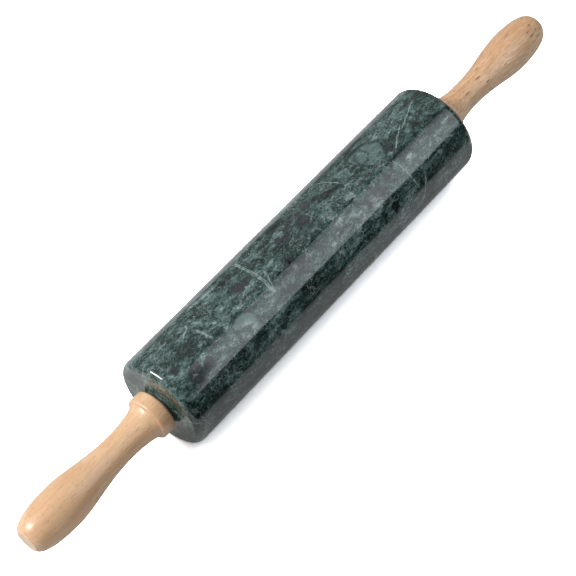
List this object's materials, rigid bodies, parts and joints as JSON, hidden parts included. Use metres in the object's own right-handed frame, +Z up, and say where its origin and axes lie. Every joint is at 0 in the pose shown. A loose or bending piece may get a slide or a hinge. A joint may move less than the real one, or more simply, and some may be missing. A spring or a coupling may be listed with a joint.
{
  "type": "rolling pin",
  "caption": "Rolling pin for pastry and dough: a heavy polished green marble barrel that rolls freely on a steel axle between turned beech handles.",
  "frame": {"origin": "middle of the barrel on its axis, midway between the ends of the handles", "axes": "+X along the pin's axis towards the right handle, +Y across it, +Z up; the barrel rests on the plane Z = -30 mm"},
  "size_m": [0.457, 0.06, 0.06],
  "materials": {
    "green_marble": "polished",
    "polished_steel": "polished",
    "white_nylon": "satin",
    "lacquered_beech": "satin",
    "sleeve_brass": "satin"
  },
  "bodies": {
    "barrel": {"marble_barrel": "green_marble"},
    "axle": {"axle_rod": "polished_steel"},
    "left_bushing": {"left_bushing": "white_nylon"},
    "right_bushing": {"right_bushing": "white_nylon"},
    "left_handle": {"left_handle": "lacquered_beech", "left_threaded_sleeve": "sleeve_brass"},
    "right_handle": {"right_handle": "lacquered_beech", "right_threaded_sleeve": "sleeve_brass"}
  },
  "joints": [
    {"name": "axle_spin", "type": "hinge", "parent": "barrel", "child": "axle", "pos_m": [0, 0, 0], "axis": [1, 0, 0], "continuous": true},
    {"name": "left_handle_draw", "type": "slide", "parent": "axle", "child": "left_handle", "axis": [-1, 0, 0], "range_m": [0, 0.02]},
    {"name": "right_handle_draw", "type": "slide", "parent": "axle", "child": "right_handle", "axis": [1, 0, 0], "range_m": [0, 0.02]},
    {"name": "left_bushing_draw", "type": "slide", "parent": "barrel", "child": "left_bushing", "axis": [-1, 0, 0], "range_m": [0, 0.01]},
    {"name": "right_bushing_draw", "type": "slide", "parent": "barrel", "child": "right_bushing", "axis": [1, 0, 0], "range_m": [0, 0.01]}
  ],
  "couplings": [
    {"joint": "left_bushing_draw", "follows": "left_handle_draw", "ratio": 0.5},
    {"joint": "right_bushing_draw", "follows": "right_handle_draw", "ratio": 0.5}
  ]
}
